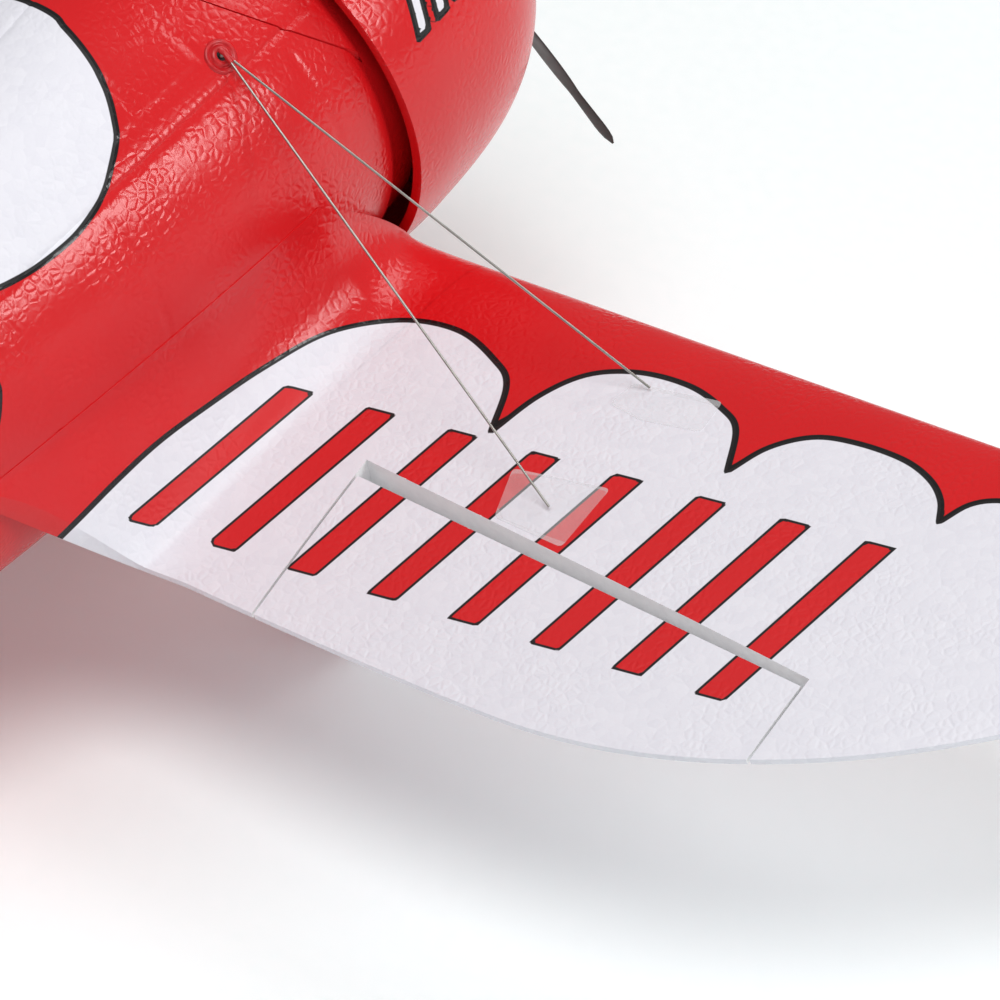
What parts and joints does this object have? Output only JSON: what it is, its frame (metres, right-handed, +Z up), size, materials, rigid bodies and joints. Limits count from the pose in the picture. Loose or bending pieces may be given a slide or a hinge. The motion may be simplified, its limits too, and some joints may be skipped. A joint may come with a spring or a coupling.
{
  "type": "radio-controlled model racing aeroplane",
  "caption": "Electric radio-controlled foam model of a barrel-bodied low-wing racer, with working ailerons, elevators, rudder, wheels, propeller and lift-off battery hatch.",
  "frame": {"origin": "middle of the footprint, on the plane that the three wheels stand on", "axes": "+Z up, nose towards -Y, tail towards +Y, port wing towards +X; the model is symmetric about X = 0 and stands nose-high on its wheels"},
  "size_m": [0.5092, 0.3681, 0.1681],
  "materials": {
    "red_foam": "painted moulded bead foam",
    "painted_wing_foam": "moulded bead foam, painted white and red",
    "grey_plastic": "moulded",
    "engine_plastic": "moulded, grey",
    "black_plastic": "moulded",
    "propeller_nylon": "moulded nylon, near black",
    "white_nylon": "moulded nylon",
    "steel": "drawn wire",
    "magnet_nickel": "nickel plated",
    "motor_aluminium": "turned",
    "stator_copper": "enamelled copper windings",
    "carbon_rod": "pultruded carbon",
    "tyre_foam": "foam rubber",
    "battery_wrap": "shrink wrap",
    "circuit_board": "solder mask",
    "servo_plastic": "moulded",
    "canopy_clear": "vacuum formed clear sheet"
  },
  "bodies": {
    "airframe": {"fuselage_left": "red_foam", "fuselage_right": "red_foam", "hatch_ledge": "grey_plastic", "ledge_magnet": "magnet_nickel", "cowl": "red_foam", "dummy_engine": "engine_plastic", "firewall": "black_plastic", "firewall_screws": "steel", "motor_mount": "grey_plastic", "motor_stator": "stator_copper", "equipment_tray": "grey_plastic", "battery": "battery_wrap", "battery_plug": "white_nylon", "flight_board": "circuit_board", "rudder_servo": "servo_plastic", "elevator_servo": "servo_plastic", "wing_left": "painted_wing_foam", "wing_right": "painted_wing_foam", "wing_spar_left": "carbon_rod", "wing_spar_right": "carbon_rod", "aileron_servo_left": "servo_plastic", "aileron_servo_right": "servo_plastic", "stabilizer": "painted_wing_foam", "fin": "painted_wing_foam", "canopy": "canopy_clear", "cockpit_seat": "grey_plastic", "instrument_panel": "black_plastic", "gear_wire_left": "steel", "gear_wire_right": "steel", "wheel_pant_left": "red_foam", "wheel_pant_right": "red_foam", "wire_bosses": "red_foam", "flying_wires": "steel", "wire_anchors": "white_nylon"},
    "rotor": {"motor_bell": "motor_aluminium", "motor_shaft": "steel", "propeller": "propeller_nylon", "spinner": "red_foam"},
    "aileron_left": {"aileron_left": "painted_wing_foam", "aileron_horn_left": "white_nylon"},
    "aileron_right": {"aileron_right": "painted_wing_foam", "aileron_horn_right": "white_nylon"},
    "rod_left": {"aileron_rod_left": "steel"},
    "rod_right": {"aileron_rod_right": "steel"},
    "elevators": {"elevator_left": "painted_wing_foam", "elevator_right": "painted_wing_foam", "elevator_joiner": "carbon_rod", "elevator_horn": "white_nylon"},
    "elevator_link": {"elevator_rod": "steel"},
    "rudder": {"rudder": "painted_wing_foam", "rudder_horn": "white_nylon", "tail_fork": "steel"},
    "rudder_link": {"rudder_rod": "steel"},
    "tail_wheel": {"tail_wheel": "tyre_foam"},
    "wheel_left": {"tyre_left": "tyre_foam", "wheel_hub_left": "white_nylon"},
    "wheel_right": {"tyre_right": "tyre_foam", "wheel_hub_right": "white_nylon"},
    "hatch": {"battery_hatch": "red_foam", "hatch_magnet": "magnet_nickel"}
  },
  "joints": [
    {"name": "propeller_spin", "type": "hinge", "parent": "airframe", "child": "rotor", "pos_m": [0, -0.16997, 0.1059], "axis": [0, -0.9779, 0.209], "continuous": true},
    {"name": "aileron_right_hinge", "type": "hinge", "parent": "airframe", "child": "aileron_right", "pos_m": [-0.13185, -0.04965, 0.05574], "axis": [0.9911, -0.1155, -0.0656], "range_deg": [-20, 20]},
    {"name": "aileron_left_hinge", "type": "hinge", "parent": "airframe", "child": "aileron_left", "pos_m": [0.13185, -0.04965, 0.05574], "axis": [0.9911, 0.1155, 0.0656], "range_deg": [-20, 20]},
    {"name": "aileron_rod_right_slide", "type": "slide", "parent": "airframe", "child": "rod_right", "axis": [0, 0.9779, -0.209], "range_m": [-0.003, 0.003]},
    {"name": "aileron_rod_left_slide", "type": "slide", "parent": "airframe", "child": "rod_left", "axis": [0, 0.9779, -0.209], "range_m": [-0.003, 0.003]},
    {"name": "elevator_hinge", "type": "hinge", "parent": "airframe", "child": "elevators", "pos_m": [0, 0.14366, 0.04706], "axis": [1, 0, 0], "range_deg": [-20, 20]},
    {"name": "elevator_rod_slide", "type": "slide", "parent": "airframe", "child": "elevator_link", "axis": [0.0095, 0.9856, -0.1689], "range_m": [-0.0035, 0.0035]},
    {"name": "rudder_hinge", "type": "hinge", "parent": "airframe", "child": "rudder", "pos_m": [0, 0.15177, 0.03715], "axis": [0, 0.209, 0.9779], "range_deg": [-25, 25]},
    {"name": "rudder_rod_slide", "type": "slide", "parent": "airframe", "child": "rudder_link", "axis": [0.012, 0.9815, -0.1913], "range_m": [-0.0042, 0.0042]},
    {"name": "tail_wheel_spin", "type": "hinge", "parent": "rudder", "child": "tail_wheel", "pos_m": [0, 0.1492, 0.006], "axis": [1, 0, 0], "continuous": true},
    {"name": "wheel_right_spin", "type": "hinge", "parent": "airframe", "child": "wheel_right", "pos_m": [-0.064, -0.1035, 0.015], "axis": [1, 0, 0], "continuous": true},
    {"name": "wheel_left_spin", "type": "hinge", "parent": "airframe", "child": "wheel_left", "pos_m": [0.064, -0.1035, 0.015], "axis": [1, 0, 0], "continuous": true},
    {"name": "hatch_lift", "type": "slide", "parent": "airframe", "child": "hatch", "axis": [0, 0.209, 0.9779], "range_m": [0, 0.06]}
  ],
  "couplings": [
    {"joint": "aileron_left_hinge", "follows": "aileron_right_hinge", "ratio": -1},
    {"joint": "aileron_rod_right_slide", "follows": "aileron_right_hinge", "m_per_rad": 0.008},
    {"joint": "aileron_rod_left_slide", "follows": "aileron_right_hinge", "m_per_rad": -0.008},
    {"joint": "elevator_rod_slide", "follows": "elevator_hinge", "m_per_rad": 0.009},
    {"joint": "rudder_rod_slide", "follows": "rudder_hinge", "m_per_rad": -0.009}
  ]
}
